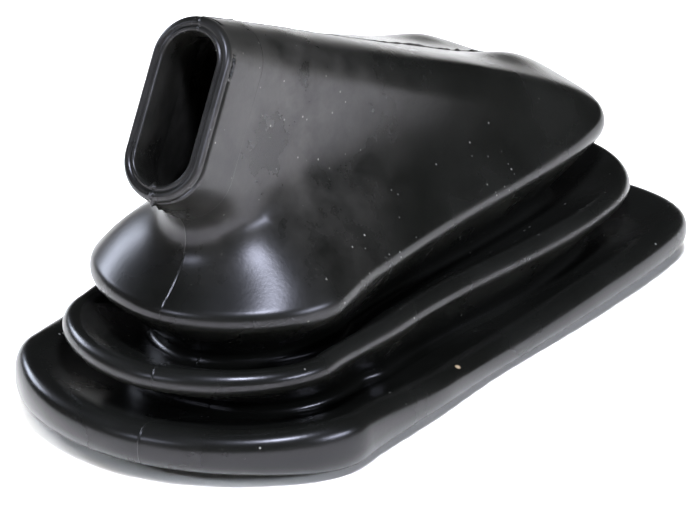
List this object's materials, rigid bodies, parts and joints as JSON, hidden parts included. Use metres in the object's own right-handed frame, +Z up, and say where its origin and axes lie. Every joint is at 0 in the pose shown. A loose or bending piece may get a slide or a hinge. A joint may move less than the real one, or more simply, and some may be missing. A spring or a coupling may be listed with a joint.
{
  "type": "handbrake gaiter",
  "caption": "Hollow moulded rubber boot with stacked bellows folds and a sloping hood that ends in an obround lever mouth; it closes the slot round a parking brake lever.",
  "frame": {"origin": "centre of the bounding box in X and Y, on the plane that the foot stands on", "axes": "+Z up, away from the floor panel; +X from the lever mouth along the length to the wide rear end; the two halves mirror each other across Y = 0"},
  "size_m": [0.1969, 0.1286, 0.1095],
  "materials": {
    "rubber": "black moulded rubber with a soft satin shine, dusty and lightly scuffed"
  },
  "bodies": {
    "root": {"gaiter": "rubber"}
  },
  "joints": []
}
